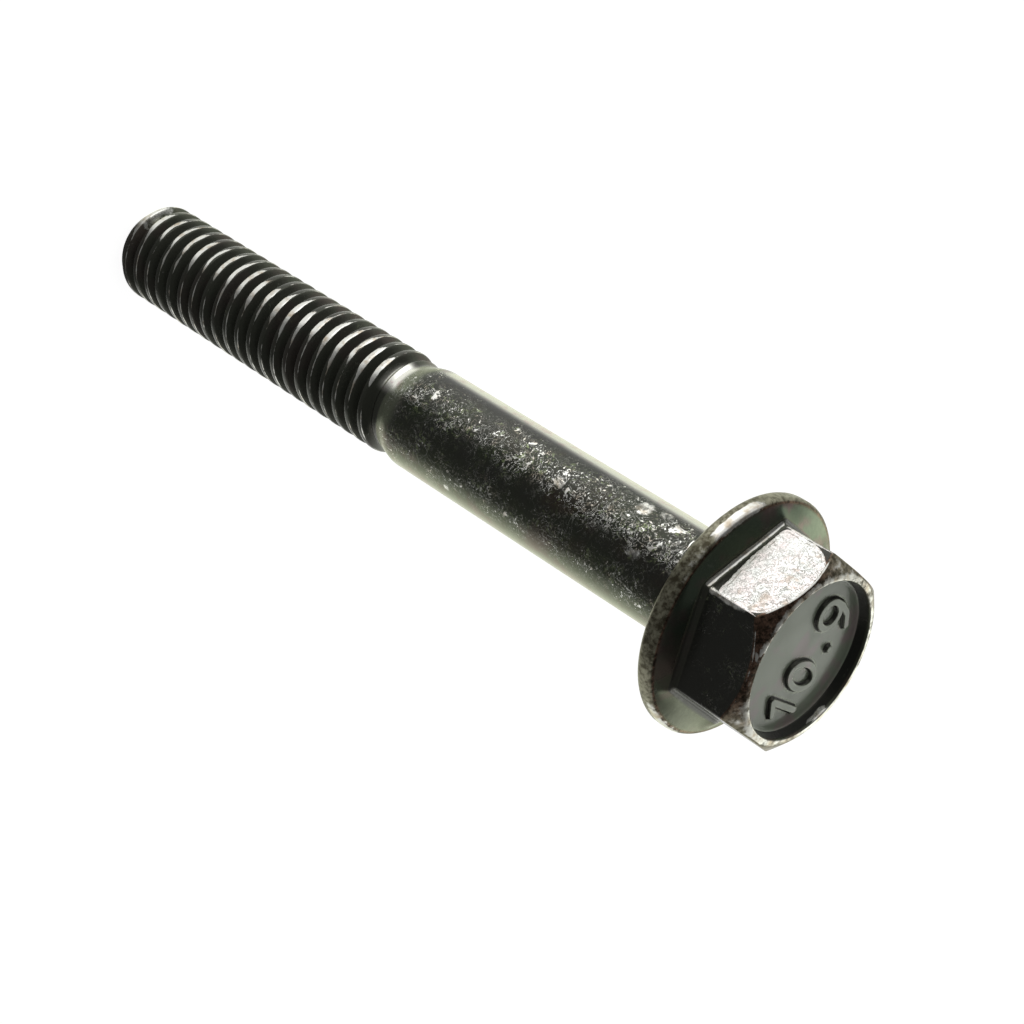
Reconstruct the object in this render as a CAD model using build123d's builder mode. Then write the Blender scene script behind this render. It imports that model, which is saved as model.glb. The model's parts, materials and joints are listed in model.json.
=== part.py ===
from build123d import *
import os
from math import cos, radians, tan

os.makedirs("parts", exist_ok=True)

# ---------------------------------------------------------------------------
# Flange bolt, hexagon head with a collar, standing on its threaded end.
# Lengths in millimetres, angles in degrees. The bolt's axis is Z, its end is at
# Z = 0, and heights on the head are measured from the bearing face.
# ---------------------------------------------------------------------------

# Stem
bolt_length = 80.0            # bearing face to the end of the bolt
thread_diameter = 10.0        # over the thread's crests
thread_length = 39.0          # end of the bolt to the last full turn
end_chamfer_depth = 0.85      # how far the end is turned down, per side
end_chamfer_length = 1.15     # along the stem
runout_depth = 0.55           # groove where the thread dies out, below the shank
runout_width = 0.9            # its flat floor
runout_slope_length = 0.35    # last turn down to that floor
shank_diameter = 10.0
shank_shoulder_length = 2.2   # rounded shoulder from the groove up to the shank
underhead_fillet = 0.5        # shank into the bearing face

# Flange
flange_overhang = 1.76        # rim beyond the hexagon's corners
rim_thickness = 1.75          # bearing face to the start of the cone
rim_back_radius = 0.75        # rounding at the bearing face
rim_front_radius = 0.45       # rounding at the cone
flange_cone_angle = 17.0      # rise of the front face towards the hexagon

# Hexagon
across_flats = 16.0
head_height = 9.2             # bearing face to the top land
hexagon_corner_radius = 0.35
hexagon_root_fillet = 0.55    # flats into the flange
crown_angle = 41.0            # slope of the chamfer on the six corners
crown_land_slope = 9.0        # slight fall of the top land towards the corners
crown_land_width = 0.68       # dish to the chamfer, which starts over the flats

# Dish in the top
dish_depth = 1.15
dish_wall_draft = 10.0        # lean of its wall
dish_floor_fillet = 0.22
dish_rim_radius = 0.12

# ---------------------------------------------------------------------------
# Radii and heights that follow from these
# ---------------------------------------------------------------------------
hexagon_corner = across_flats / 2 / cos(radians(30))
flange_radius = hexagon_corner + flange_overhang
thread_radius = thread_diameter / 2
shank_radius = shank_diameter / 2
end_radius = thread_radius - end_chamfer_depth

bearing = Plane.XY.offset(bolt_length)
# Half sections are drawn with x = radius and y = height over the bearing face.
half_section = Plane(origin=bearing.origin, x_dir=(1, 0, 0), z_dir=(0, -1, 0))

# ---------------------------------------------------------------------------
# Stem and flange, one turned profile
# ---------------------------------------------------------------------------
end = -bolt_length
last_turn = end + thread_length
groove_start = last_turn + runout_slope_length
groove_end = groove_start + runout_width
shank_start = groove_end + shank_shoulder_length
groove_radius = min(thread_radius, shank_radius) - runout_depth
cone_foot = hexagon_corner * 0.6
cone_rise = (flange_radius - cone_foot) * tan(radians(flange_cone_angle))

with BuildPart() as stem:
    with BuildSketch(half_section):
        with BuildLine():
            Polyline((0, rim_thickness), (0, end), (end_radius, end),
                     (thread_radius, end + end_chamfer_length),
                     (thread_radius, last_turn), (groove_radius, groove_start),
                     (groove_radius, groove_end))
            # Rounded shoulder: it leaves the groove steeply and runs out along the shank.
            TangentArc((groove_radius, groove_end), (shank_radius, shank_start),
                       tangent=(0, -1), tangent_from_first=False)
            FilletPolyline((shank_radius, shank_start), (shank_radius, 0),
                           (flange_radius, 0), (flange_radius, rim_thickness),
                           (cone_foot, rim_thickness + cone_rise),
                           (0, rim_thickness + cone_rise), (0, rim_thickness),
                           radius=(underhead_fillet, rim_back_radius, rim_front_radius, 0, 0))
        make_face()
    revolve(axis=Axis.Z)

# ---------------------------------------------------------------------------
# Hexagon, rising out of the flange's cone: its corners are turned to a crown, and
# a shallow dish is sunk in its top
# ---------------------------------------------------------------------------
crown_height = head_height - crown_land_width * tan(radians(crown_land_slope))
crown_reach = hexagon_corner + 1.0
crown_edge = across_flats / 2
crown_fall = (crown_reach - crown_edge) * tan(radians(crown_angle))
dish_radius = crown_edge - crown_land_width
dish_floor = head_height - dish_depth
dish_floor_radius = dish_radius - dish_depth * tan(radians(dish_wall_draft))

with BuildPart() as hexagon:
    with BuildSketch(bearing.offset(rim_thickness / 2)):
        # Corners on the X axis, so that two flats face -Y and +Y
        RegularPolygon(radius=across_flats / 2, side_count=6, major_radius=False)
    extrude(amount=head_height - rim_thickness / 2)
    fillet(hexagon.edges().filter_by(Axis.Z), radius=hexagon_corner_radius)
    with BuildSketch(half_section):
        with BuildLine():
            FilletPolyline((0, 0), (crown_reach, 0), (crown_reach, crown_height - crown_fall),
                           (crown_edge, crown_height), (dish_radius, head_height),
                           (dish_floor_radius, dish_floor), (0, dish_floor),
                           radius=(0, 0, 0, dish_rim_radius, dish_floor_fillet))
            Line((0, dish_floor), (0, 0))
        make_face()
    revolve(axis=Axis.Z, mode=Mode.INTERSECT)

# ---------------------------------------------------------------------------
# The whole bolt: one solid, its flats blended into the flange
# ---------------------------------------------------------------------------
with BuildPart() as flange_bolt:
    add(stem.part)
    add(hexagon.part)
    # Where the flats meet the flange's cone
    root = [e for e in flange_bolt.edges()
            if rim_thickness < bearing.to_local_coords(e.center()).Z < rim_thickness + cone_rise]
    fillet(root, radius=hexagon_root_fillet)

flange_bolt.part.label = "flange_bolt"
export_step(flange_bolt.part, "parts/flange_bolt.step")
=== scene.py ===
import json
from math import atan2, cos, degrees, hypot, pi, radians, sin, sqrt, tan

import bpy
from mathutils import Matrix, Vector, noise
from mathutils.geometry import delaunay_2d_cdt


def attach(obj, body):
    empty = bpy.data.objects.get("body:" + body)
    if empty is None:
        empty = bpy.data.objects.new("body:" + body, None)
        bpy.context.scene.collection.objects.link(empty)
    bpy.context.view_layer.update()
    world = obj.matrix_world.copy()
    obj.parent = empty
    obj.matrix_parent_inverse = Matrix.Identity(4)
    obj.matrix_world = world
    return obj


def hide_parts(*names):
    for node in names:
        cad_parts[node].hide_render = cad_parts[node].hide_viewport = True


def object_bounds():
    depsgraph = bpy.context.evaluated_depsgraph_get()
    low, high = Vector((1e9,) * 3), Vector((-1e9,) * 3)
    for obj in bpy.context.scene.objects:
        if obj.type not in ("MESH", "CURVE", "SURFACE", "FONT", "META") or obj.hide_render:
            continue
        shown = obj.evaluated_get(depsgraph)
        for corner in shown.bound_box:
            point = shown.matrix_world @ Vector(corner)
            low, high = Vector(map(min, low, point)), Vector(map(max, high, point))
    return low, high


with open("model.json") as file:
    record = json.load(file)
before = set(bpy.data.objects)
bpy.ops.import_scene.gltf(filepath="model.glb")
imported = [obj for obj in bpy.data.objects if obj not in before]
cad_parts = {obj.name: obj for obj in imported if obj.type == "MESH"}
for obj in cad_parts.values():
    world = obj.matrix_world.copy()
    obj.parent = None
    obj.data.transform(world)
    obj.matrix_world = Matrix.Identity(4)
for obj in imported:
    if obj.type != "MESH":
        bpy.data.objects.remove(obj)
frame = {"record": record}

cad_low, cad_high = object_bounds()
MM = 0.001

# ---------------------------------------------------------------------------
# Sizes, in millimetres and radians. The bolt's axis is Z and its end is at Z = 0.
# ---------------------------------------------------------------------------
mounts = {m["name"]: m for m in frame["record"]["mounts"]}
BEARING = mounts["bearing_face"]["pos_m"][2] / MM
STEM_R = mounts["thread"]["dims"]["r_mm"]
FLANGE_R = cad_high[0] / MM
HEAD_TOP = cad_high[2] / MM

COLUMNS = 144                  # round the bolt, 24 to a side of the hexagon

# Thread: right-handed, its crests at THREAD_START + turns * PITCH where the angle is 0
PITCH = 1.847
THREAD_START = 1.6575
THREAD_DEPTH = 0.95
CREST_HALF = 0.31              # half the crest's width
CREST_CAMBER = 0.03            # how far the crest falls to its edges
FLANK = radians(30)            # a flank's lean
LAST_TURN = (38.6, 40.25)      # it fades out between these heights
END_R = 4.12
END_CHAMFER = 1.15

# Neck, shoulder and shank
NECK_R = 4.45
SHOULDER = (39.9, 42.5)        # it rises from the neck to the shank between these heights
UNDERHEAD_FILLET = 0.5

# Flange
RIM_BACK = 0.75
RIM_FRONT = 0.45
RIM_FLAT = BEARING + 1.75      # the cone would meet the rim here
CONE = radians(17)

# Hexagon
APOTHEM = 8.0
CORNER_FILLET = 0.35
ROOT_FILLET = 0.42
CROWN_START = 7.9              # radius where the land turns into the crown
CROWN = radians(41)
LAND = radians(9)
EDGE_ROUND = 0.2               # flats into the crown

# Dish
DISH_R = 7.32
DISH_RIM_ROUND = 0.12
DISH_FLOOR = BEARING + 8.05    # its height
DISH_DRAFT = radians(10)
DISH_FLOOR_FILLET = 0.22


def smoothstep(start, end, x):
    """0 before the start and 1 past the end. The end may be the smaller of the two."""
    t = min(1.0, max(0.0, (x - start) / (end - start)))
    return t * t * (3 - 2 * t)


def hump(value, middle, width):
    """A smooth rise to 1 at the middle, and back to 0 at width on either side."""
    return smoothstep(width, 0.0, abs(value - middle))


def soft_min(a, b, reach):
    """The smaller value, rounded off where the two are less than reach apart."""
    h = max(reach - abs(a - b), 0.0) / reach
    return min(a, b) - h * h * reach / 4


def soft_max(a, b, reach):
    return -soft_min(-a, -b, reach)


# ---------------------------------------------------------------------------
# Wear is placed by side: degrees round the axis, anticlockwise from above, counted
# from where the coat is most worn. It runs from -180 to 180. That side is also where
# the key lamp's highlight runs down the round parts as the camera sees them, so bright
# bare steel massed there is partly painted highlight.
# ---------------------------------------------------------------------------
WORN_HIGHLIGHT_SIDE = -87.0              # degrees from +X


def side_at(angle):
    return (degrees(angle) - WORN_HIGHLIGHT_SIDE + 180) % 360 - 180


def side_of(v):
    return side_at(atan2(v.y, v.x))


# ---------------------------------------------------------------------------
# Mesh builder. Each point says what the material is there, by the zones it is in.
# ---------------------------------------------------------------------------
ZONES = (
    "edge",                    # worn through to bare steel, from 0 to about 1; in places painted highlight
    "film",                    # thin smooth coat, grey green and metallic; on the shank's sides a painted reflection
    "scratch",                 # how much of the coat is scratched through
    "panel",                   # millimetres inside the bare part of a flat
    "bare_and_sheen",                    # how bare that flat is, partly painted highlight on the fully bare one
    "polish",                  # white steel, painted as highlight and reflection
    "rim",                     # mottled, dark brown at 0.45 and pale at 0.95
    "dull",                    # matt grey, as in the dish
)


class Skin:
    """One mesh, built point by point in millimetres."""

    def __init__(self):
        self.verts = []
        self.faces = []
        self.zones = {name: [] for name in ZONES}

    def add(self, x, y, z, **zones):
        """Adds a point and returns its number. Zones that aren't named are 0 there."""
        self.verts.append((x * MM, y * MM, z * MM))
        for name in ZONES:
            self.zones[name].append(zones.get(name, 0.0))
        return len(self.verts) - 1

    def add_ring(self, points):
        return [self.add(x, y, z, **zones) for x, y, z, zones in points]

    def face(self, *ids):
        """Adds a face. Repeated corners count once, and it is dropped if too few are left."""
        corners = [v for i, v in enumerate(ids) if v != ids[i - 1]]
        if len(set(corners)) == len(corners) >= 3:
            self.faces.append(corners)

    def join(self, low, high):
        """Adds a band of faces between two rings."""
        for j in range(COLUMNS):
            k = (j + 1) % COLUMNS
            self.face(low[j], low[k], high[k], high[j])


def level_ring(angles, r, z, **zones):
    """Points of a level round ring. A zone is a number, or a function of the side."""
    points = []
    for a in angles:
        here = {name: v(side_at(a)) if callable(v) else v for name, v in zones.items()}
        points.append((r * cos(a), r * sin(a), z, here))
    return points


skin = Skin()

# ---------------------------------------------------------------------------
# Thread: a grid that follows the helix, cut off level at both ends
# ---------------------------------------------------------------------------
# Rows of one turn, by their height over the middle of its crest
ROW_OFFSETS = [-0.30, -0.235, -0.12, 0.0, 0.12, 0.235, 0.30, 0.37, 0.50, 0.64, 0.76, 0.86]
ROW_OFFSETS += [PITCH / 2 + 0.02]
ROW_OFFSETS += [PITCH - v for v in (0.80, 0.70, 0.57, 0.43)]
THREAD_TOP = LAST_TURN[1] + 0.03
CREST_ROUND, THREAD_ROOT_ROUND, CHAMFER_ROUND = 0.10, 0.16, 0.08


def neck_radius(z):
    return NECK_R + (STEM_R - NECK_R) * smoothstep(*SHOULDER, z)


def thread_share(z):
    """1 on the full thread, 0 past the last turn."""
    return 1 - smoothstep(*LAST_TURN, z)


def off_crest(turn, z):
    """Height over the middle of the nearest crest, at a part of a turn from 0 to 1."""
    crest = THREAD_START + PITCH * turn
    return (z - crest + PITCH / 2) % PITCH - PITCH / 2


def thread_radius(turn, z):
    away = abs(off_crest(turn, z))
    crest = STEM_R - CREST_CAMBER * (away / CREST_HALF) ** 2
    flank = STEM_R - (away - CREST_HALF) / tan(FLANK)
    r = soft_min(crest, flank, CREST_ROUND)
    r = soft_max(r, STEM_R - THREAD_DEPTH, THREAD_ROOT_ROUND)
    if z < 2 * END_CHAMFER:
        chamfer = END_R + (STEM_R - END_R) * z / END_CHAMFER
        r = soft_min(r, chamfer, CHAMFER_ROUND)
    return neck_radius(z) + (r - NECK_R) * thread_share(z)


def crest_wear_and_highlight(turn, z):
    """Bare steel on the crests: on the worn side a wide band that is painted highlight, where
    the key lamp's reflection crosses them, and elsewhere wear along one edge.
    """
    a = 2 * pi * turn
    side = side_at(a)
    uneven = noise.noise(Vector((3 * cos(a), 3 * sin(a), z * 0.45)))
    share = max(smoothstep(34 + 20 * uneven, 2, abs(side - 2 - 0.2 * z)),
                0.6 * hump(abs(side), 168, 50))
    half_width = 0.05 + (0.15 + 0.003 * z) * share * (1 + 0.4 * uneven)
    off_middle = abs(off_crest(turn, z) - 0.25 * (1 - share))
    worn = smoothstep(half_width + 0.07, half_width - 0.05, off_middle)
    worn *= 0.62 + 0.44 * share + 0.5 * uneven
    return worn * sqrt(thread_share(z))


def neck_highlight(side):
    """Painted highlight on the last turn and the neck: white steel on the worn side, less on the
    far one.
    """
    return max(smoothstep(30, 14, abs(side - 2)), 0.5 * hump(abs(side), 150, 60))


def thread_zones(turn, side, z):
    first_turns = smoothstep(4.5, 1.0, z) * hump(side, -8, 60)
    return {"edge": max(crest_wear_and_highlight(turn, z), 0.72 * first_turns),
            "film": 0.15 + 0.5 * first_turns + 0.3 * hump(side, -56, 40),
            "polish": neck_highlight(side) * smoothstep(38.7, 39.3, z)}


def thread_grid():
    """Adds the thread and returns its lowest and its highest ring."""
    # A row climbs by one pitch on its way round, so there are turns to spare at both ends
    last = int((THREAD_TOP - THREAD_START) / PITCH) + 3
    heights = [THREAD_START + k * PITCH + v for k in range(-3, last) for v in ROW_OFFSETS]
    per_turn = len(ROW_OFFSETS)
    bottom, top, ids = {}, {}, {}
    for j in range(COLUMNS):
        turn = j / COLUMNS
        a = 2 * pi * turn
        for i, start in enumerate(heights):
            z = start + PITCH * turn
            if z <= 0 and j in bottom:
                ids[j, i] = bottom[j]
                continue
            if z >= THREAD_TOP and j in top:
                ids[j, i] = top[j]
                continue
            z = min(max(z, 0.0), THREAD_TOP)
            r = thread_radius(turn, z)
            v = skin.add(r * cos(a), r * sin(a), z, **thread_zones(turn, side_at(a), z))
            ids[j, i] = v
            if z == 0.0:
                bottom[j] = v
            if z == THREAD_TOP:
                top[j] = v
    for i in range(len(heights) - 1 - per_turn):
        for j in range(COLUMNS):
            k, climb = (j + 1, 0) if j + 1 < COLUMNS else (0, per_turn)
            skin.face(ids[j, i], ids[k, i + climb], ids[k, i + climb + 1], ids[j, i + 1])
    return [bottom[j] for j in range(COLUMNS)], [top[j] for j in range(COLUMNS)]


stem_bottom, stem_top = thread_grid()

# ---------------------------------------------------------------------------
# End face, neck, shoulder, shank and the flange's bearing face
# ---------------------------------------------------------------------------
STEM_ANGLES = [2 * pi * j / COLUMNS for j in range(COLUMNS)]
END_RINGS = (3.9, 3.0, 1.5)
SHOULDER_ROWS, SHANK_ROWS, FILLET_ROWS = 12, 90, 5
BEARING_RINGS = (6.6, 8.2)

# Places where the coat has chipped off: side in degrees, height, radius in millimetres
CHIPS = ((-14, 70.2, 1.5), (-20, 72.2, 0.9), (35, 72.6, 0.9), (13, 62.2, 0.9), (20, 60.4, 0.6),
         (74, 59.6, 0.55), (88, 50.5, 0.5))


def end_face(outer):
    for r in END_RINGS:
        inner = skin.add_ring(level_ring(STEM_ANGLES, r, 0.0))
        skin.join(inner, outer)
        outer = inner
    centre = skin.add(0, 0, 0)
    for j in range(COLUMNS):
        skin.face(centre, outer[(j + 1) % COLUMNS], outer[j])


def shank_scratch(side, z):
    """How much of the coat is scratched off the shank."""
    band = 0.76 * hump(side, 8, 52) + 0.3 * hump(abs(side), 160, 60)
    near_head = 0.6 * hump(side, 0, 42) * smoothstep(58, 71, z)
    low = 0.6 * hump(side, 72, 42)
    shoulder = 0.5 * hump(z, 43.0, 2.6)
    return min(1.0, max(band + near_head + low, shoulder)) * smoothstep(40.4, 41.2, z)


def shank_film(side, z):
    """The coat is thin on the shoulder; along the shank's two sides the metallic film is painted
    reflection that lightens them.
    """
    a = radians(side)
    ragged = 0.6 * noise.noise(Vector((2.2 * cos(a), 2.2 * sin(a), z * 0.7)))
    shoulder = 0.7 * smoothstep(42.7, 42.0, z + ragged)
    return 0.04 + max(shoulder, 0.75 * hump(side, -64, 34), 0.9 * hump(side, 106, 64))


def shank_polish(side, z):
    """Painted reflection as pale steel: a strip along the shank's length on one side, less on
    the far side and on the shoulder, and the neck's painted highlight.
    """
    along = smoothstep(-25, -37, side) * smoothstep(-100, -80, side)
    return max(0.85 * along * smoothstep(41.8, 43.5, z),
               0.5 * hump(side, 126, 48),
               0.05 * smoothstep(43.4, 42.2, z),
               neck_highlight(side) * smoothstep(41.3, 40.6, z))


def chipped(side, z):
    best = 0.0
    for middle, height, size in CHIPS:
        away = hypot(radians((side - middle + 180) % 360 - 180) * STEM_R, z - height)
        best = max(best, 0.55 * smoothstep(1.4 * size, 0.3 * size, away))
    return best


def stem_profile():
    """Radius and height of each ring from the neck to the bearing face."""
    profile = []
    for i in range(1, SHOULDER_ROWS + 1):
        z = THREAD_TOP + (SHOULDER[1] - THREAD_TOP) * i / SHOULDER_ROWS
        profile.append((neck_radius(z), z))
    shank_length = BEARING - UNDERHEAD_FILLET - SHOULDER[1]
    for i in range(1, SHANK_ROWS + 1):
        profile.append((STEM_R, SHOULDER[1] + shank_length * i / SHANK_ROWS))
    for i in range(1, FILLET_ROWS + 1):
        a = radians(90) * i / FILLET_ROWS
        profile.append((STEM_R + UNDERHEAD_FILLET * (1 - cos(a)),
                        BEARING - UNDERHEAD_FILLET * (1 - sin(a))))
    return profile + [(r, BEARING) for r in BEARING_RINGS]


end_face(stem_bottom)
below = stem_top
for r, z in stem_profile():
    above = skin.add_ring(level_ring(STEM_ANGLES, r, z,
                                     scratch=lambda side: shank_scratch(side, z),
                                     film=lambda side: shank_film(side, z),
                                     polish=lambda side: shank_polish(side, z),
                                     edge=lambda side: chipped(side, z)))
    skin.join(below, above)
    below = above

# ---------------------------------------------------------------------------
# Head: columns follow the hexagon's outline, with most of them at its corners
# ---------------------------------------------------------------------------
HALF_FLAT = APOTHEM * tan(radians(30))
CORNER_R = HALF_FLAT / sin(radians(30))
FLAT_STEPS, ARC_STEPS = 10, 4  # from the middle of a flat to its end, and round a corner
CROWDING = 0.8                 # below 1, the steps on a flat get shorter to its ends


def hexagon_outline():
    """COLUMNS points with their outward normals, the first on the middle of a flat."""
    straight = HALF_FLAT - CORNER_FILLET * tan(radians(30))
    points = []
    for k in range(6):
        start = radians(30 + 60 * k)
        n = Vector((cos(start), sin(start)))
        along = Vector((-n.y, n.x))
        for i in range(FLAT_STEPS + 1):
            reach = straight * (i / FLAT_STEPS) ** CROWDING
            points.append((n * APOTHEM + along * reach, n))
        corner = radians(60 + 60 * k)
        middle = Vector((cos(corner), sin(corner)))
        middle *= (APOTHEM - CORNER_FILLET) / cos(radians(30))
        for i in range(1, ARC_STEPS):
            a = start + radians(60) * i / ARC_STEPS
            m = Vector((cos(a), sin(a)))
            points.append((middle + m * CORNER_FILLET, m))
        after = radians(90 + 60 * k)
        n = Vector((cos(after), sin(after)))
        along = Vector((-n.y, n.x))
        for i in range(FLAT_STEPS):
            reach = straight * ((FLAT_STEPS - i) / FLAT_STEPS) ** CROWDING
            points.append((n * APOTHEM - along * reach, n))
    return points


# The rings below the head start at angle 0, the outline in the middle of a flat.
outline = hexagon_outline()
shift = COLUMNS * 30 // 360
outline = outline[-shift:] + outline[:-shift]
HEAD_ANGLES = [atan2(p.y, p.x) % (2 * pi) for p, n in outline]

# ---------------------------------------------------------------------------
# Flange: rim, cone and the root of the flats
# ---------------------------------------------------------------------------
RIM_ROWS = 6
CONE_ROWS, ROOT_ROWS = 8, 5
RIM_FRONT_TURN = radians(90) - CONE
FRONT_START = RIM_FLAT - RIM_FRONT * tan(RIM_FRONT_TURN / 2)


def cone_height(r):
    return RIM_FLAT + (FLANGE_R - r) * tan(CONE)


# The flats' foot is level all round, so the cone rises a little to meet each corner
FOOT_Z = cone_height(APOTHEM + ROOT_FILLET)
WALL_Z = FOOT_Z + ROOT_FILLET


def rim_edge(side):
    """Bare steel on the rim: a streak on the worn side is painted highlight, where the key lamp
    reflects along the rim; the rest is wear.
    """
    streak = max(smoothstep(20, 8, abs(side + 7)),
                 0.3 * hump(side, 22, 26),
                 0.7 * hump(abs(side), 110, 30))
    return 0.2 + 0.85 * streak


def rim_rings():
    rings = []
    back_r, back_z = FLANGE_R - RIM_BACK, BEARING + RIM_BACK
    for i in range(RIM_ROWS + 1):
        a = radians(-90 + 90 * i / RIM_ROWS)
        rings.append(level_ring(HEAD_ANGLES, back_r + RIM_BACK * cos(a),
                                back_z + RIM_BACK * sin(a), rim=smoothstep(0, 4, i)))
    rings.append(level_ring(HEAD_ANGLES, FLANGE_R, (back_z + FRONT_START) / 2, rim=1.0,
                            edge=lambda side: 0.2 + 0.8 * (rim_edge(side) - 0.2)))
    for i in range(RIM_ROWS):
        a = RIM_FRONT_TURN * i / (RIM_ROWS - 1)
        on_cone = smoothstep(3, 5, i)
        kept = 1.0 if i < 4 else 0.62
        rings.append(level_ring(HEAD_ANGLES, FLANGE_R - RIM_FRONT + RIM_FRONT * cos(a),
                                FRONT_START + RIM_FRONT * sin(a), rim=1.0 - 0.7 * on_cone,
                                film=on_cone, edge=lambda side: rim_edge(side) * kept))
    return rings


def cone_rings():
    rings = []
    start_r = FLANGE_R - RIM_FRONT + RIM_FRONT * cos(RIM_FRONT_TURN)
    for i in range(1, CONE_ROWS):
        t = i / CONE_ROWS
        points = []
        for (p, n), a in zip(outline, HEAD_ANGLES):
            foot = p + n * ROOT_FILLET
            q = Vector((start_r * cos(a), start_r * sin(a))).lerp(foot, t)
            lift = (FOOT_Z - cone_height(foot.length)) * smoothstep(0.1, 1.0, t)
            film = 1.0 - 0.4 * hump(side_at(a), 112, 70)
            points.append((q.x, q.y, cone_height(q.length) + lift, {"film": film}))
        rings.append(points)
    return rings


def root_rings():
    rings = []
    for i in range(ROOT_ROWS + 1):
        a = radians(270 - 90 * i / ROOT_ROWS)
        points = []
        for p, n in outline:
            q = p + n * ROOT_FILLET * (1 + cos(a))
            # On the worn flat's root fillet, bare steel paints the highlight line along its foot
            worn = hump(side_of(n), -3, 40) * hump(i, 2.5, 3)
            points.append((q.x, q.y, WALL_Z + ROOT_FILLET * sin(a),
                           {"film": 0.15 + 0.6 * worn, "edge": 1.1 * worn}))
        rings.append(points)
    return rings


# ---------------------------------------------------------------------------
# Flats, their rounded top edge, crown and land
# ---------------------------------------------------------------------------
WALL_ROWS, EDGE_ROWS, LAND_ROWS = 18, 5, 9
CROWN_ROUND = 0.14             # crown into land
LAND_IN = DISH_R + 0.06        # radius where the dish's rounded rim starts

# How bare each flat is, anticlockwise from the one whose normal is 30 degrees from +X.
# The fully bare flat is worn steel and also painted highlight, standing in for its bright
# reflection.
FLAT_BARE_AND_SHEEN = (0.35, 0.62, 0.2, 0.45, 1.0, 0.0)


def top_height(r):
    """Height of the crown and the land over a radius."""
    crown = HEAD_TOP - (CROWN_START - DISH_R) * tan(LAND) - (r - CROWN_START) * tan(CROWN)
    land = HEAD_TOP - (r - DISH_R - 0.05) * tan(LAND)
    return soft_min(crown, land, CROWN_ROUND)


def rounded_top(p, n):
    """Where a flat ends, and the rounding from there to the crown: way in, height."""
    inset = p - n * EDGE_ROUND
    step = n * 0.05
    slope = (top_height((inset - step).length) - top_height((inset + step).length)) / 0.1
    wall_end = top_height(inset.length) - EDGE_ROUND * sqrt(1 + slope * slope)
    end = atan2(1, -slope)
    arc = []
    for i in range(EDGE_ROWS + 1):
        a = pi + (end - pi) * i / EDGE_ROWS
        arc.append((EDGE_ROUND + EDGE_ROUND * cos(a), wall_end + EDGE_ROUND * sin(a)))
    return wall_end, arc


tops = [rounded_top(p, n) for p, n in outline]


def bareness_and_sheen(n):
    """How bare the flat with this normal is; on the fully bare flat this is partly painted
    highlight.
    """
    return FLAT_BARE_AND_SHEEN[round((degrees(atan2(n.y, n.x)) - 30) / 60) % 6]


def inside_panel(p, n, z, top):
    """Distance inside the bare part of a flat, which has rounded corners."""
    u = Vector((-n.y, n.x)).dot(p)
    left = u + HALF_FLAT - 0.22
    right = HALF_FLAT - 0.10 - u
    low = z - WALL_Z - 0.12 - 0.5 * smoothstep(-1.0, 4.5, u)
    high = top - z + 0.02
    best = min(left, right, low, high)
    for x, y, r in ((left, high, 1.9), (right, high, 1.1), (left, low, 0.5), (right, low, 0.3)):
        if x < r and y < r:
            best = min(best, r - hypot(r - x, r - y))
    return max(-1.0, min(1.0, best))


def near_corner(p, start=0.76, full=0.88):
    """How near a point of the outline is to a corner, from 0 to 1."""
    return smoothstep(start, full, (p.length - APOTHEM) / (CORNER_R - APOTHEM))


def side_wear(p):
    """Edges of the hexagon are worn all round, and more on the worn side."""
    return 0.45 + 0.55 * hump(side_of(p), 0, 75)


def crown_rub(side):
    """The crown is rubbed lighter in three places round it."""
    return max(hump(side, 104, 44), 0.8 * hump(side, -36, 30), 0.5 * hump(side, -140, 40))


def crown_nick(side, r):
    """A short slanting scratch on the crown."""
    off = radians(side - 44 - 10 * (r - 7.9)) * r
    return 0.6 * smoothstep(0.30, 0.08, abs(off)) * smoothstep(0.75, 0.5, abs(r - 7.95))


def dish_rim_highlight(side):
    """Painted highlight: bare steel for a short way on the dish's rim, opposite the worn side.
    """
    return hump(side % 360, 183, 14)


def wall_rings():
    rings = []
    for i in range(WALL_ROWS):
        t = (i + 0.35) / WALL_ROWS
        points = []
        for (p, n), (top, _) in zip(outline, tops):
            z = WALL_Z + (top - WALL_Z) * t
            panel = inside_panel(p, n, z, top)
            bare_and_sheen = bareness_and_sheen(n)
            worn = 0.75 * near_corner(p) * side_wear(p) * smoothstep(0.1, 1.5, top - z)
            mottled = 0.3 * smoothstep(0.0, 0.9, t) * bare_and_sheen if panel > 0 else 0.0
            points.append((p.x, p.y, z, {"edge": worn, "panel": panel, "bare_and_sheen": bare_and_sheen,
                                         "scratch": 0.16, "rim": mottled}))
        rings.append(points)
    return rings


def edge_rings():
    rings = []
    for i in range(EDGE_ROWS + 1):
        points = []
        for (p, n), (top, arc) in zip(outline, tops):
            way_in, z = arc[i]
            q = p - n * way_in
            worn = (0.3 + 0.65 * hump(i, 1.5, 3)) * side_wear(p)
            worn *= 1 - 0.6 * near_corner(p, 0.5, 0.8)
            panel = min(0.06 - 0.05 * i, inside_panel(p, n, top, top))
            points.append((q.x, q.y, z, {"edge": worn, "panel": panel, "bare_and_sheen": bareness_and_sheen(n),
                                         "rim": 0.45 + 0.4 * crown_rub(side_of(p))}))
        rings.append(points)
    return rings


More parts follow.
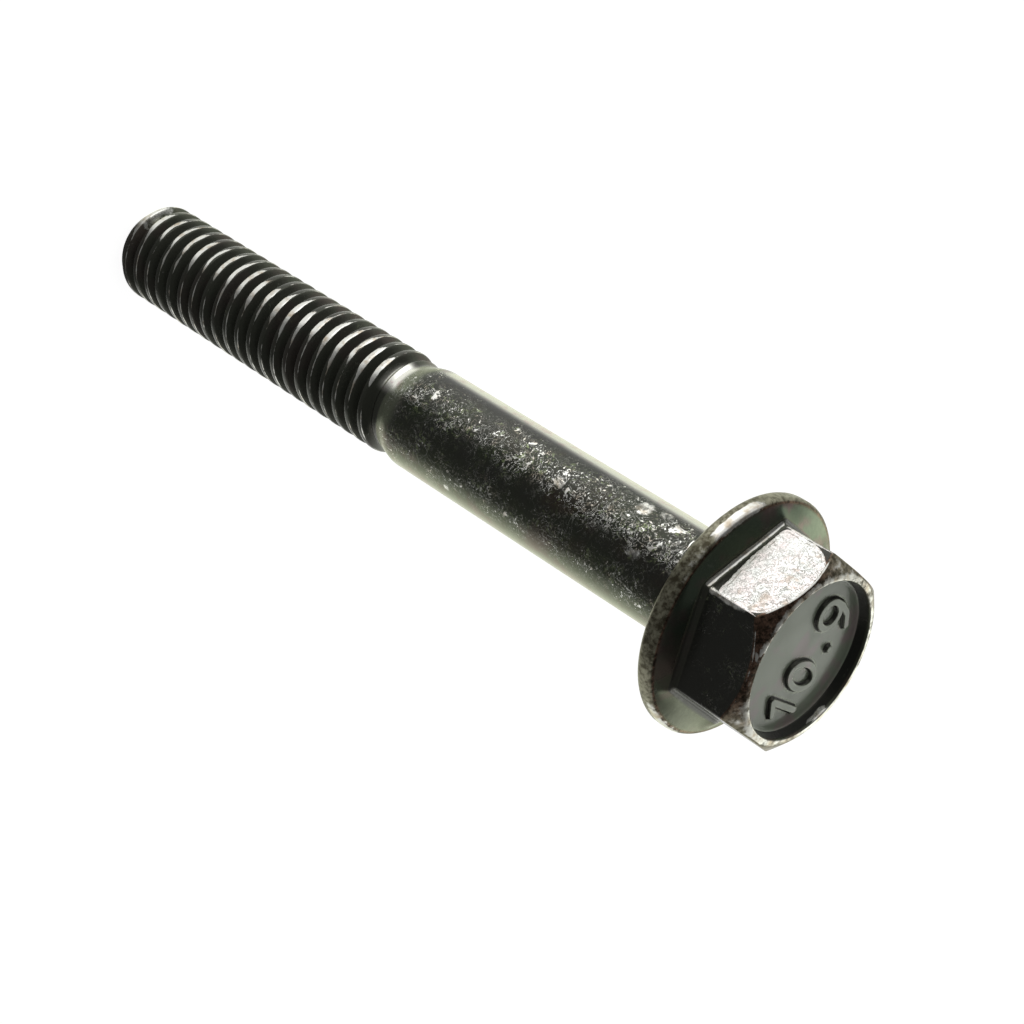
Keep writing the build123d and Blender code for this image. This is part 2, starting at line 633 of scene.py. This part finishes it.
def crown_rings():
    rings = []
    for i in range(1, LAND_ROWS + 1):
        t = i / LAND_ROWS
        points = []
        for (p, n), (_, arc), a in zip(outline, tops, HEAD_ANGLES):
            side = side_at(a)
            start = p - n * arc[-1][0]
            q = start.lerp(Vector((LAND_IN * cos(a), LAND_IN * sin(a))), t)
            r = q.length
            on_land = smoothstep(CROWN_START + 0.15, CROWN_START - 0.15, r)
            rubbed = on_land * (1 - 0.7 * hump(side, 58, 40))
            edge = 0.3 + 0.25 * rubbed + 0.15 * crown_rub(side) + crown_nick(side, r)
            # Painted highlight on the land next to the dish's rim
            edge += 0.7 * on_land * dish_rim_highlight(side)
            points.append((q.x, q.y, top_height(r),
                           {"rim": 0.45 + 0.15 * rubbed + 0.4 * crown_rub(side), "edge": edge}))
        rings.append(points)
    return rings


# ---------------------------------------------------------------------------
# Dish: rounded rim, leaning wall, filleted floor
# ---------------------------------------------------------------------------
ROUND_ROWS = 4
WALL_STEPS = (0.2, 0.4, 0.6, 0.8)


def dish_rings():
    rings = []
    rim_z = top_height(LAND_IN) - DISH_RIM_ROUND
    for i in range(1, ROUND_ROWS + 1):
        t = i / ROUND_ROWS
        a = radians(90) + (radians(90) - DISH_DRAFT) * t
        # Bare steel on the rounded rim, and the painted highlight opposite the worn side
        rings.append(level_ring(HEAD_ANGLES, LAND_IN + DISH_RIM_ROUND * cos(a),
                                rim_z + DISH_RIM_ROUND * sin(a), film=0.5,
                                edge=lambda side: 0.75 * (1 - t) + 0.7 * dish_rim_highlight(side)))
    wall_r = LAND_IN - DISH_RIM_ROUND * cos(DISH_DRAFT)
    wall_top = rim_z + DISH_RIM_ROUND * sin(DISH_DRAFT)
    foot_r = wall_r - (wall_top - DISH_FLOOR) * tan(DISH_DRAFT)
    tangent = DISH_FLOOR_FILLET * tan((radians(90) - DISH_DRAFT) / 2)
    for t in WALL_STEPS:
        z = wall_top + (DISH_FLOOR + tangent - wall_top) * t
        # On the wall's upper part near side 181, bare steel is a painted highlight
        rings.append(level_ring(HEAD_ANGLES, foot_r + (z - DISH_FLOOR) * tan(DISH_DRAFT), z,
                                edge=lambda side: 1.6 * (0.8 - t)
                                * smoothstep(12, 7, abs(side % 360 - 181))))
    for i in range(ROUND_ROWS + 1):
        a = -DISH_DRAFT - (radians(90) - DISH_DRAFT) * i / ROUND_ROWS
        rings.append(level_ring(HEAD_ANGLES, foot_r - tangent + DISH_FLOOR_FILLET * cos(a),
                                DISH_FLOOR + DISH_FLOOR_FILLET * (1 + sin(a)),
                                dull=1.0 if i > 1 else 0.0))
    return rings


head = rim_rings() + cone_rings() + root_rings()
head += wall_rings() + edge_rings() + crown_rings() + dish_rings()
for points in head:
    above = skin.add_ring(points)
    skin.join(below, above)
    below = above
floor_ring = below

# ---------------------------------------------------------------------------
# Dish floor, with plain raised numerals
# ---------------------------------------------------------------------------
TEXT_TURN = radians(-141.6)    # the way the numerals read
TEXT_RIGHT = Vector((cos(TEXT_TURN), sin(TEXT_TURN)))
TEXT_UP = Vector((-TEXT_RIGHT.y, TEXT_RIGHT.x))
TEXT_MIDDLE, TEXT_HALF = -1.5, 2.9
STROKE = 0.35                  # half a stroke's width
RAISED = 0.34
FINE = 0.06                    # between the floor's points near a stroke's edge
FINE_REACH = 0.16              # how near that is
COARSE = 4                     # elsewhere they are this many times as far apart
FAR = 9.0

# Numerals: kind, height, middle to the right and up from the axis
NUMERALS = (("1", 3.7, -4.55, -1.35), ("0", 3.8, -1.55, -1.55),
            (".", 1.0, 1.35, -3.25), ("9", 4.5, 3.95, -1.45))


def ellipse(cy, rx, ry, steps):
    turns = [radians(360 * i / steps) for i in range(steps + 1)]
    return [(rx * cos(a), cy + ry * sin(a)) for a in turns]


def glyph(kind, h):
    """Open lines of a numeral of height h, centred on the origin."""
    if kind == "1":
        return [[(-0.26 * h, 0.24 * h), (0.04 * h, 0.5 * h), (0.04 * h, -0.5 * h)]]
    if kind == "0":
        return [ellipse(0, 0.29 * h, 0.5 * h, 28)]
    if kind == "9":
        return [ellipse(0.21 * h, 0.27 * h, 0.29 * h, 24),
                [(0.27 * h, 0.21 * h), (0.26 * h, -0.02 * h), (0.16 * h, -0.30 * h),
                 (-0.05 * h, -0.50 * h)]]
    return [[(0, 0), (0.02, 0)]]


strokes = []
for kind, h, right, up in NUMERALS:
    for line in glyph(kind, h):
        points = [TEXT_RIGHT * (x + right) + TEXT_UP * (y + up) for x, y in line]
        strokes += list(zip(points, points[1:]))


def off_text(p):
    """Distance from the middle of the line of numerals, across it."""
    return abs(p.dot(TEXT_UP) - TEXT_MIDDLE)


def stroke_distance(p):
    """Distance to the edge of the nearest stroke, negative on it."""
    best = FAR
    for a, b in strokes:
        ab = b - a
        t = min(1.0, max(0.0, (p - a).dot(ab) / ab.dot(ab)))
        best = min(best, (p - a - ab * t).length)
    return best - STROKE


def floor_points(radius):
    """Points inside the floor's ring: a coarse grid, and a fine one along the strokes."""
    points = []
    steps = int(2 * radius / FINE) + 1
    for iy in range(steps):
        for ix in range(steps):
            p = Vector((-radius + FINE * (ix + 0.5 * (iy % 2)), -radius + FINE * iy))
            if p.length > radius - 0.08:
                continue
            coarse = ix % COARSE == 0 and iy % COARSE == 0
            if coarse or off_text(p) <= TEXT_HALF and abs(stroke_distance(p)) < FINE_REACH:
                points.append(p)
    return points


def floor_point(p, radius):
    """Adds a point of the floor, raised at a numeral, with a black band of painted shade on the
    numeral's sloping sides.
    """
    d = stroke_distance(p) if off_text(p) < TEXT_HALF + 0.3 else FAR
    lift = RAISED * smoothstep(0.07, -0.07, d)
    wave = 0.012 * noise.noise(Vector((p.x * 0.5, p.y * 0.5, 3.0)))
    wave *= smoothstep(radius, radius - 1.0, p.length)
    # Painted shade: black oxide on a numeral's sloping sides and foot
    outline_shade = smoothstep(0.17, 0.06, abs(d - 0.03))
    return skin.add(p.x, p.y, DISH_FLOOR + lift + wave, film=1 - 0.95 * outline_shade, dull=1 - outline_shade)


def dish_floor():
    """Adds the floor inside the dish's last ring."""
    ring = [skin.verts[v] for v in floor_ring]
    border = [Vector((x / MM, y / MM)) for x, y, z in ring]
    radius = hypot(*ring[0][:2]) / MM
    edges = [(j, (j + 1) % COLUMNS) for j in range(COLUMNS)]
    inside_only, merge_within = 1, 1e-6
    placed, _, triangles, sources, _, _ = delaunay_2d_cdt(
        border + floor_points(radius), edges, [list(range(COLUMNS))], inside_only, merge_within)
    ids = []
    for p, source in zip(placed, sources):
        on_border = [i for i in source if i < COLUMNS]
        ids.append(floor_ring[on_border[0]] if on_border else floor_point(p, radius))
    for triangle in triangles:
        corners = [ids[i] for i in triangle]
        a, b, c = (Vector(skin.verts[i]) for i in corners[:3])
        if (b - a).cross(c - a).z < 0:
            corners.reverse()
        skin.face(*corners)


dish_floor()

# ---------------------------------------------------------------------------
# The bolt's one mesh
# ---------------------------------------------------------------------------
mesh = bpy.data.meshes.new("bolt_skin")
mesh.from_pydata(skin.verts, [], skin.faces)
mesh.validate()
for name, values in skin.zones.items():
    layer = mesh.attributes.new(name, "FLOAT", "POINT")
    layer.data.foreach_set("value", values)
mesh.polygons.foreach_set("use_smooth", [True] * len(mesh.polygons))
mesh.update()
bolt = bpy.data.objects.new("bolt_skin", mesh)
bpy.context.scene.collection.objects.link(bolt)
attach(bolt, "root")
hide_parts("flange_bolt")


# ---------------------------------------------------------------------------
# Material
# ---------------------------------------------------------------------------
class Nodes:
    """Short ways to add nodes. Every value is a number, a colour or another socket."""

    def __init__(self, tree):
        self.tree = tree
        self.tree.nodes.clear()

    def put(self, node, key, value):
        socket = node.inputs[key]
        if hasattr(value, "is_output"):
            self.tree.links.new(value, socket)
        else:
            socket.default_value = value

    def new(self, kind, **inputs):
        node = self.tree.nodes.new(kind)
        for key, value in inputs.items():
            self.put(node, key.replace("_", " "), value)
        return node

    def math(self, operation, *values, clamp=False):
        node = self.tree.nodes.new("ShaderNodeMath")
        node.operation = operation
        node.use_clamp = clamp
        for i, value in enumerate(values):
            self.put(node, i, value)
        return node.outputs[0]

    def times(self, a, b):
        return self.math("MULTIPLY", a, b)

    def scaled(self, a, factor, offset):
        """a * factor + offset"""
        return self.math("MULTIPLY_ADD", a, factor, offset)

    def minus(self, a, b):
        return self.math("SUBTRACT", a, b)

    def larger(self, a, b):
        return self.math("MAXIMUM", a, b)

    def apart(self, a, b):
        """How far apart two values are."""
        return self.math("ABSOLUTE", self.minus(a, b))

    def vector_math(self, operation, *values):
        node = self.tree.nodes.new("ShaderNodeVectorMath")
        node.operation = operation
        for i, value in enumerate(values):
            self.put(node, i, value)
        return node.outputs

    def ramp(self, value, low, high, out_low=0.0, out_high=1.0):
        node = self.tree.nodes.new("ShaderNodeMapRange")
        node.interpolation_type = "SMOOTHSTEP"
        for key, v in (("Value", value), ("From Min", low), ("From Max", high),
                       ("To Min", out_low), ("To Max", out_high)):
            self.put(node, key, v)
        return node.outputs[0]

    def mix(self, factor, a, b):
        """Colour a where the factor is 0, colour b where it is 1."""
        node = self.tree.nodes.new("ShaderNodeMix")
        node.data_type = "RGBA"
        for key, v in ((0, factor), (6, a), (7, b)):
            self.put(node, key, v)
        return node.outputs[2]

    def attribute(self, name):
        node = self.tree.nodes.new("ShaderNodeAttribute")
        node.attribute_name = name
        return node.outputs["Fac"]

    def noise(self, vector, scale, detail=3.0, roughness=0.55, distortion=0.0):
        node = self.new("ShaderNodeTexNoise", Vector=vector, Scale=scale, Detail=detail,
                        Roughness=roughness, Distortion=distortion)
        return node.outputs["Fac"]


def new_material(name):
    material = bpy.data.materials.new(name)
    material.use_nodes = True
    return material, Nodes(material.node_tree)


# Colours, in pairs where noise mixes the two
BLACK_OXIDE = (0.0230, 0.0230, 0.0222, 1)
GREEN_STAIN, BROWN_STAIN = (0.018, 0.026, 0.013, 1), (0.032, 0.020, 0.015, 1)
SCUFF = (0.28, 0.34, 0.17, 1)
OLIVE_FILM, BROWN_FILM = (0.140, 0.160, 0.105, 1), (0.172, 0.138, 0.112, 1)
GREEN_FULL, BROWN_FULL = (0.104, 0.133, 0.096, 1), (0.158, 0.116, 0.110, 1)
GREEN_DISH, BROWN_DISH = (0.285, 0.325, 0.250, 1), (0.335, 0.290, 0.270, 1)
RIM_DARK, RIM_LIGHT = (0.065, 0.056, 0.034, 1), (0.29, 0.28, 0.205, 1)
CROWN_DARK, CROWN_LIGHT = (0.022, 0.014, 0.009, 1), (0.19, 0.115, 0.080, 1)
STEEL, STEEL_BROWN = (0.68, 0.68, 0.64, 1), (0.42, 0.36, 0.28, 1)
# Steel colours for the painted highlights and reflections
SHEEN_WHITE_STEEL, SHEEN_PINK_STEEL = (0.72, 0.72, 0.66, 1), (0.66, 0.56, 0.55, 1)
FLAT_GREY, FLAT_PINK = (0.70, 0.71, 0.68, 1), (0.74, 0.68, 0.66, 1)
FLAT_LINE, FLAT_LINE_HIGH = (0.60, 0.59, 0.56, 1), (0.24, 0.24, 0.22, 1)
FLAT_TAN, FLAT_SPOT = (0.50, 0.43, 0.37, 1), (0.36, 0.24, 0.17, 1)
FLAT_LIP = (0.25, 0.23, 0.20, 1)


class Steel:
    """Black oxide over steel. What is shared between the steps is kept on the object."""

    def __init__(self, m):
        self.m = m
        self.place = m.new("ShaderNodeTexCoord").outputs["Object"]
        self.zone = {name: m.attribute(name) for name in ZONES}
        self.patch = self.noise(330.0, 7.0, 0.78, 0.4)
        self.gaps = m.ramp(self.noise(760.0, 4.0, 0.65, 0.6), 0.46, 0.54)
        self.edge_noise = self.noise(1300.0, 4.0, 0.62)
        self.broad = self.noise(260.0, 5.0, 0.65)
        self.tint = self.noise(800.0, 3.0, 0.6)
        self.grain = self.noise(2600.0, 3.0, 0.65)
        self.scratches()
        self.bare_places()

    def noise(self, *settings):
        return self.m.noise(self.place, *settings)

    def scratches(self):
        """Flakes, specks, strips and hairlines in the coat, and duller scuffs."""
        m = self.m
        self.room = m.ramp(m.scaled(self.zone["scratch"], 0.46, self.patch), 0.54, 0.86)
        broken = m.times(self.room, m.ramp(self.gaps, 0.0, 1.0, 0.6, 1.0))
        needed = m.scaled(broken, -0.17, 0.78)
        flakes = self.noise(1150.0, 5.0, 0.62, 1.4)
        specks = self.noise(3600.0, 2.0, 0.6, 0.6)
        strips = self.noise(620.0, 4.0, 0.6, 1.6)
        marks = m.ramp(m.minus(flakes, needed), 0.0, 0.03)
        marks = m.larger(marks, m.ramp(m.minus(specks, needed), 0.0, 0.02))
        marks = m.larger(marks, m.ramp(m.minus(strips, needed), 0.0, 0.02))
        hairlines = m.ramp(m.apart(self.noise(900.0, 5.0, 0.6, 2.0), 0.5), 0.013, 0.0)
        self.marks = m.larger(marks, m.times(hairlines, self.room))
        thin = m.ramp(self.noise(1700.0, 5.0, 0.7, 0.8), 0.53, 0.60)
        uneven = m.ramp(self.noise(430.0, 3.0), 0.40, 0.58, 0.2, 1.0)
        scuffs = m.times(thin, m.times(self.room, uneven))
        self.scuffs = m.times(scuffs, m.ramp(self.gaps, 0.0, 1.0, 0.15, 1.0))

    def bare_places(self):
        """Bare steel on edges, on the worn flats and in the scratches; on some edges and on the
        fully bare flat it is painted highlight.
        """
        m = self.m
        ragged = m.scaled(self.edge_noise, 0.9, -0.85)
        on_edge = m.ramp(m.math("ADD", self.zone["edge"], ragged), 0.0, 0.25)
        ragged = m.scaled(self.edge_noise, 0.3, -0.15)
        self.border = m.math("ADD", self.zone["panel"], ragged)
        eaten = m.math("ADD", self.zone["bare_and_sheen"], m.scaled(self.patch, 0.9, -0.85))
        self.on_flat = m.times(m.ramp(self.border, 0.0, 0.08), m.ramp(eaten, 0.20, 0.30))
        self.steel_here = m.larger(m.larger(self.marks, on_edge), self.on_flat)
        # Fine lines wander over a bare flat
        self.wandering = m.ramp(m.apart(self.noise(2300.0, 4.0, 0.6, 1.2), 0.5), 0.0, 0.045)

    def oxide(self):
        """The black coat, stained where it is scratched, and its scuffs."""
        m = self.m
        stain = m.mix(m.ramp(self.noise(190.0, 3.0), 0.45, 0.60), GREEN_STAIN, BROWN_STAIN)
        stained = m.times(m.ramp(self.broad, 0.38, 0.68), m.ramp(self.zone["scratch"], 0.1, 0.5))
        return m.mix(self.scuffs, m.mix(stained, BLACK_OXIDE, stain), SCUFF)

    def thin_coat(self):
        """The film: olive on the shank, darker where it is full, on the flange's cone."""
        m = self.m
        partly = m.mix(m.ramp(self.noise(200.0, 4.0), 0.48, 0.62), OLIVE_FILM, BROWN_FILM)
        full = m.mix(m.ramp(self.noise(230.0, 3.0), 0.48, 0.62), GREEN_FULL, BROWN_FULL)
        return m.mix(m.ramp(self.zone["film"], 0.8, 1.0), partly, full)

    def mottled(self):
        """The rim and the crown, the crown darker and browner."""
        m = self.m
        fine = self.noise(2400.0, 4.0, 0.65)
        coarse = m.scaled(self.edge_noise, 0.6, m.times(self.broad, 0.4))
        mottle = m.ramp(m.scaled(fine, 0.5, m.times(coarse, 0.5)), 0.41, 0.60)
        crown = m.mix(mottle, CROWN_DARK, CROWN_LIGHT)
        rim = m.mix(mottle, RIM_DARK, RIM_LIGHT)
        return m.mix(m.ramp(self.zone["rim"], 0.45, 0.95), crown, rim)

    def bare_flat(self):
        """Grainy steel: dark lines over grey and pink, brown spots, a darker lip."""
        m = self.m
        high = m.ramp(self.zone["rim"], 0.0, 0.3)
        ground = m.mix(m.ramp(self.noise(900.0, 2.0), 0.35, 0.65), FLAT_GREY, FLAT_PINK)
        colour = m.mix(self.wandering, m.mix(high, FLAT_LINE, FLAT_LINE_HIGH), ground)
        colour = m.mix(m.times(high, m.ramp(self.tint, 0.48, 0.68)), colour, FLAT_TAN)
        colour = m.mix(m.ramp(self.noise(520.0, 4.0, 0.6), 0.60, 0.74), colour, FLAT_SPOT)
        lip = m.ramp(m.apart(self.border, 0.34), 0.09, 0.02)
        lip = m.times(lip, m.ramp(self.noise(800.0, 2.0), 0.44, 0.56))
        return m.mix(m.times(lip, 0.7), colour, FLAT_LIP)

    def colour(self):
        m = self.m
        steel = m.mix(m.ramp(self.tint, 0.45, 0.72), STEEL, STEEL_BROWN)
        steel = m.mix(self.on_flat, steel, self.bare_flat())
        colour = m.mix(self.zone["film"], self.oxide(), self.thin_coat())
        colour = m.mix(m.ramp(self.zone["rim"], 0.0, 0.35), colour, self.mottled())
        # Painted highlights and reflections, in white and pink steel
        sheen_colour = m.mix(m.ramp(self.tint, 0.50, 0.66), SHEEN_WHITE_STEEL, SHEEN_PINK_STEEL)
        colour = m.mix(self.zone["polish"], colour, sheen_colour)
        colour = m.mix(self.steel_here, colour, steel)
        dish = m.mix(m.ramp(self.noise(300.0, 2.0), 0.48, 0.64), GREEN_DISH, BROWN_DISH)
        return m.mix(self.zone["dull"], colour, dish)

    def metallic(self):
        m = self.m
        metal = m.larger(m.times(self.zone["film"], 0.93), m.times(self.scuffs, 0.55))
        metal = m.larger(metal, m.ramp(self.zone["rim"], 0.0, 0.35, 0.0, 0.62))
        bare_and_sheen = m.larger(self.zone["polish"], self.steel_here)
        metal = m.math("MAXIMUM", metal, bare_and_sheen, clamp=True)
        return m.times(metal, m.minus(1.0, self.zone["dull"]))

    def roughness(self):
        m = self.m
        rough = m.scaled(self.grain, 0.16, 0.15)
        rough = m.scaled(m.times(self.gaps, self.room), -0.10, rough)
        return m.scaled(m.larger(self.zone["rim"], self.on_flat), 0.12, rough)

    def height(self):
        """For the bump: grain and dents, sunk marks, and less of it all on the film."""
        m = self.m
        dents = self.noise(700.0, 2.0, 0.5)
        height = m.scaled(self.grain, 0.6, m.times(dents, 0.9))
        height = m.minus(height, m.times(self.marks, 0.2))
        height = m.scaled(m.times(self.wandering, self.on_flat), 0.3, height)
        return m.times(height, m.scaled(self.zone["film"], -0.75, 1.0))


def steel_material():
    material, m = new_material("blackened_steel_worn")
    steel = Steel(m)
    bump = m.new("ShaderNodeBump", Strength=0.4, Distance=0.00006, Height=steel.height())
    shader = m.new("ShaderNodeBsdfPrincipled", Base_Color=steel.colour(),
                   Metallic=steel.metallic(), Roughness=steel.roughness(),
                   Normal=bump.outputs[0])
    shader.inputs["Specular Tint"].default_value = (0.97, 1.0, 0.80, 1)
    shader.inputs["Specular IOR Level"].default_value = 0.32
    m.new("ShaderNodeOutputMaterial", Surface=shader.outputs[0])
    return material


bolt.data.materials.append(steel_material())

# ---------------------------------------------------------------------------
# Camera: it looks down on the head, and is rolled so that the bolt slants
# ---------------------------------------------------------------------------
CAMERA_AT = Vector((92.93, -139.72, 177.27)) * MM
CAMERA_AZIMUTH, CAMERA_ELEVATION, CAMERA_ROLL = 32.63, 35.82, 122.79
scene = bpy.context.scene
scene.view_settings.view_transform = "Standard"
camera_data = bpy.data.cameras.new("camera")
camera_data.lens = 81.92
camera_data.sensor_width = 36.0
camera_data.clip_start = 0.005
camera_data.clip_end = 20.0
camera = bpy.data.objects.new("camera", camera_data)
scene.collection.objects.link(camera)
turned = (Matrix.Rotation(radians(CAMERA_AZIMUTH), 4, "Z")
          @ Matrix.Rotation(radians(90 - CAMERA_ELEVATION), 4, "X")
          @ Matrix.Rotation(radians(CAMERA_ROLL), 4, "Z"))
camera.matrix_world = Matrix.Translation(CAMERA_AT) @ turned
scene.camera = camera

# ---------------------------------------------------------------------------
# Floor and world. The bolt sees them dimmed on one side, so that its dark flats stay
# dark, while the camera sees them evenly white.
# ---------------------------------------------------------------------------
DIM_AZIMUTH = 30               # middle of the dim side, counted as in around()
DIM_FROM, DIM_FULL = 0.42, 0.77  # cosines of the angle to that middle
DIM_LEVEL = 0.11
FLOOR_RADIUS = 3.0             # in metres
FLOOR_GREY = (0.30, 0.30, 0.30, 1)
FLOOR_GLOW = 0.93              # as the camera sees it, on top of the light it reflects
SKY_FADE = (0.40, 0.72)        # the world darkens between these heights on its unit sphere
SKY_LEAST = 0.12
WHITE = (1, 1, 1, 1)


def around(azimuth, distance, height):
    """A point at an azimuth counted from the camera's side, anticlockwise from above."""
    a = radians(CAMERA_AZIMUTH - 90 + azimuth)
    return Vector((distance * cos(a), distance * sin(a), height)) * MM


def one_sided(m, direction):
    """1 on the bright side of the studio, falling off on the side the dark flats face."""
    flat = m.vector_math("MULTIPLY", direction, (1, 1, 0))[0]
    flat = m.vector_math("NORMALIZE", flat)[0]
    dim = around(DIM_AZIMUTH, 1, 0).normalized()
    facing = m.vector_math("DOT_PRODUCT", flat, dim)["Value"]
    return m.ramp(facing, DIM_FROM, DIM_FULL, 1.0, DIM_LEVEL)


def floor_material():
    material, m = new_material("pale_floor")
    rays = m.new("ShaderNodeLightPath").outputs
    place = m.new("ShaderNodeTexCoord").outputs["Object"]
    reflected = m.times(rays["Is Glossy Ray"], one_sided(m, place))
    seen = m.larger(rays["Is Camera Ray"], rays["Is Transmission Ray"])
    glow = m.larger(m.times(seen, FLOOR_GLOW), reflected)
    diffuse = m.new("ShaderNodeBsdfDiffuse", Color=FLOOR_GREY)
    white = m.new("ShaderNodeEmission", Color=WHITE, Strength=glow)
    both = m.new("ShaderNodeAddShader")
    m.put(both, 0, diffuse.outputs[0])
    m.put(both, 1, white.outputs[0])
    m.new("ShaderNodeOutputMaterial", Surface=both.outputs[0])
    return material


bpy.ops.mesh.primitive_circle_add(vertices=96, radius=FLOOR_RADIUS, fill_type="NGON",
                                  location=(0, 0, 0))
ground = bpy.context.object
ground.name = "floor"
ground.data.materials.append(floor_material())

world = bpy.data.worlds.new("studio")
scene.world = world
world.use_nodes = True
sky = Nodes(world.node_tree)
look = sky.new("ShaderNodeTexCoord").outputs["Generated"]
rise = sky.new("ShaderNodeSeparateXYZ", Vector=look).outputs["Z"]
strength = sky.times(sky.ramp(rise, *SKY_FADE, 1.0, 0.0), one_sided(sky, look))
strength = sky.larger(strength, SKY_LEAST)
strength = sky.larger(strength, sky.new("ShaderNodeLightPath").outputs["Is Camera Ray"])
light = sky.new("ShaderNodeBackground", Color=WHITE, Strength=strength)
sky.new("ShaderNodeOutputWorld", Surface=light.outputs[0])


# ---------------------------------------------------------------------------
# Lamps
# ---------------------------------------------------------------------------
def softbox(name, azimuth, distance, height, width, tall, radiance, aim):
    """A soft area lamp; its power follows from the radiance of its face."""
    data = bpy.data.lights.new(name, "AREA")
    data.shape = "RECTANGLE"
    data.size = width * MM
    data.size_y = tall * MM
    data.energy = radiance * pi * data.size * data.size_y
    lamp = bpy.data.objects.new(name, data)
    scene.collection.objects.link(lamp)
    at = around(azimuth, distance, height)
    to = Vector(aim) * MM - at
    lamp.matrix_world = Matrix.Translation(at) @ to.to_track_quat("-Z", "Y").to_matrix().to_4x4()
    lamp.visible_camera = False


softbox("key", azimuth=-62, distance=62, height=36, width=52, tall=66, radiance=0.95,
        aim=(0, 0, 45))
softbox("back", azimuth=180, distance=300, height=190, width=260, tall=120, radiance=1.2,
        aim=(0, 0, 60))
